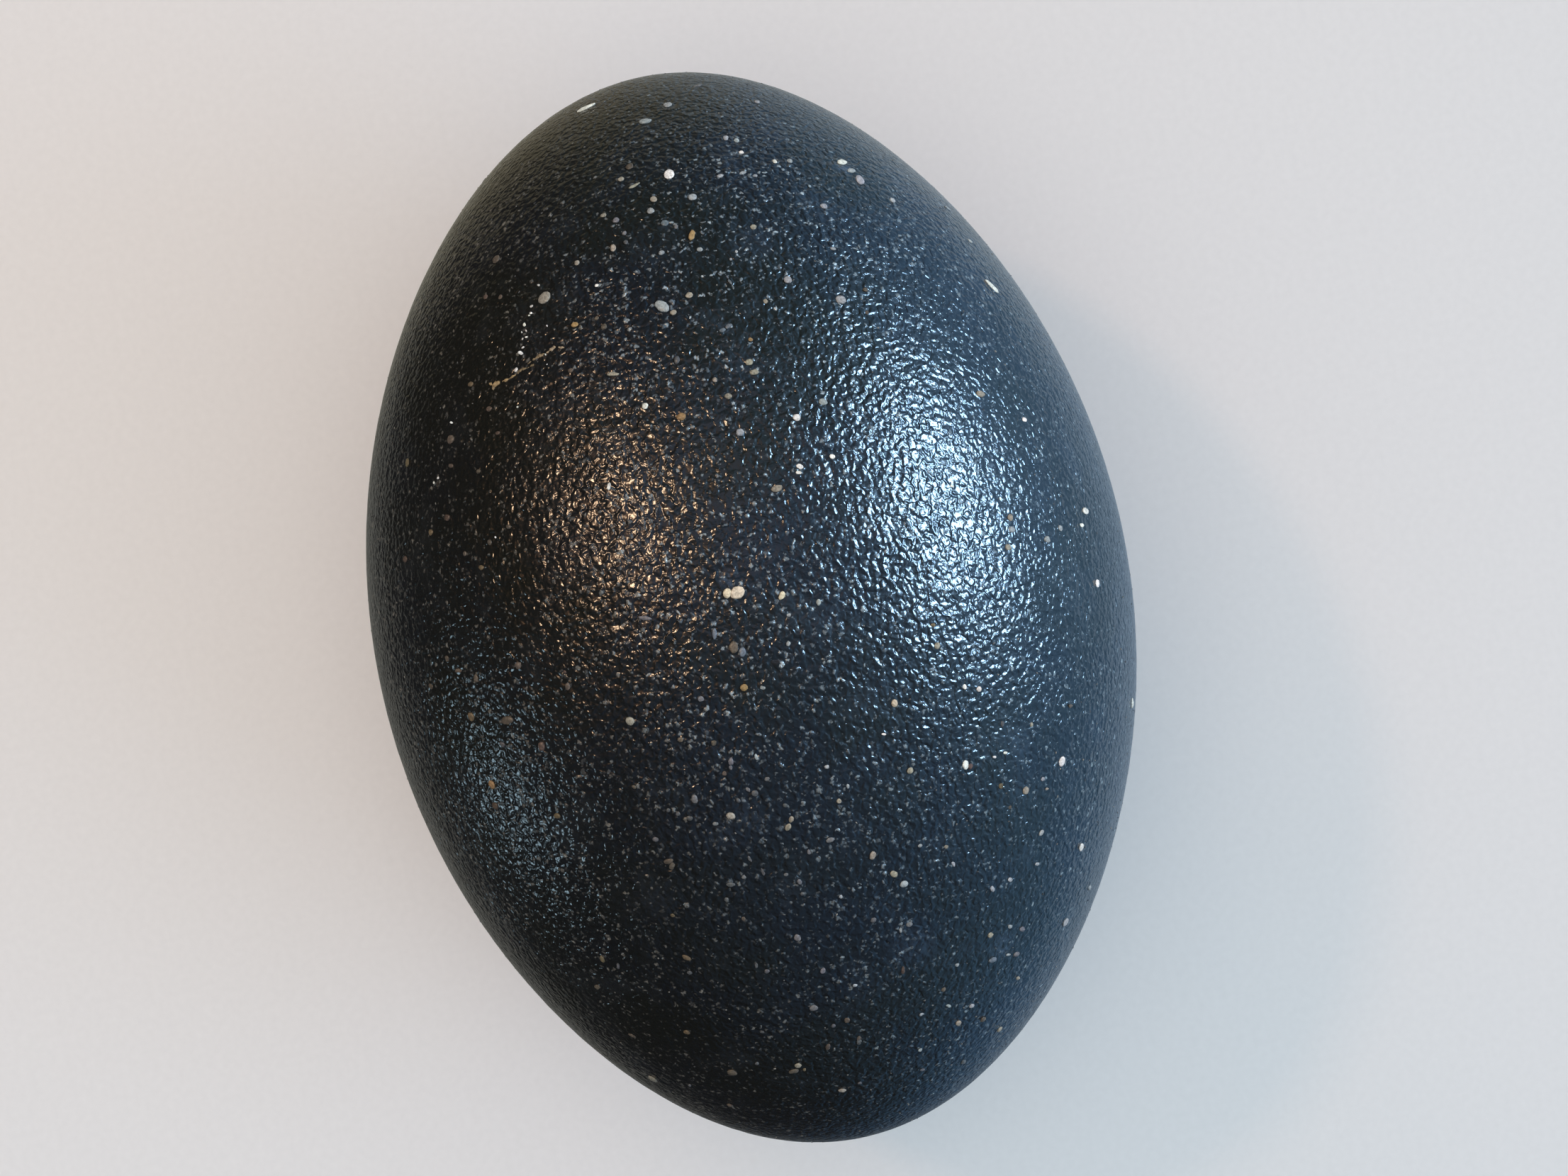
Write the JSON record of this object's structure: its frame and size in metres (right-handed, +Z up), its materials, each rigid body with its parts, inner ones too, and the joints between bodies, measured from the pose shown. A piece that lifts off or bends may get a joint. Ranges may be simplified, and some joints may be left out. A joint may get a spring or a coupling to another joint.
{
  "type": "emu egg",
  "caption": "Whole dark emu egg with a granular, semi-gloss shell, lying on its side on a small flat spot.",
  "frame": {"origin": "under the middle of the egg, on the surface it lies on", "axes": "+X along the egg's length, towards its very slightly narrower end; +Z up, square to the flat spot it rests on; +Y across its breadth"},
  "size_m": [0.1304, 0.091, 0.0906],
  "materials": {
    "eggshell": "semi-gloss, finely granular, near-black green-blue with pale specks in its pits"
  },
  "bodies": {
    "root": {"egg": "eggshell"}
  },
  "joints": []
}
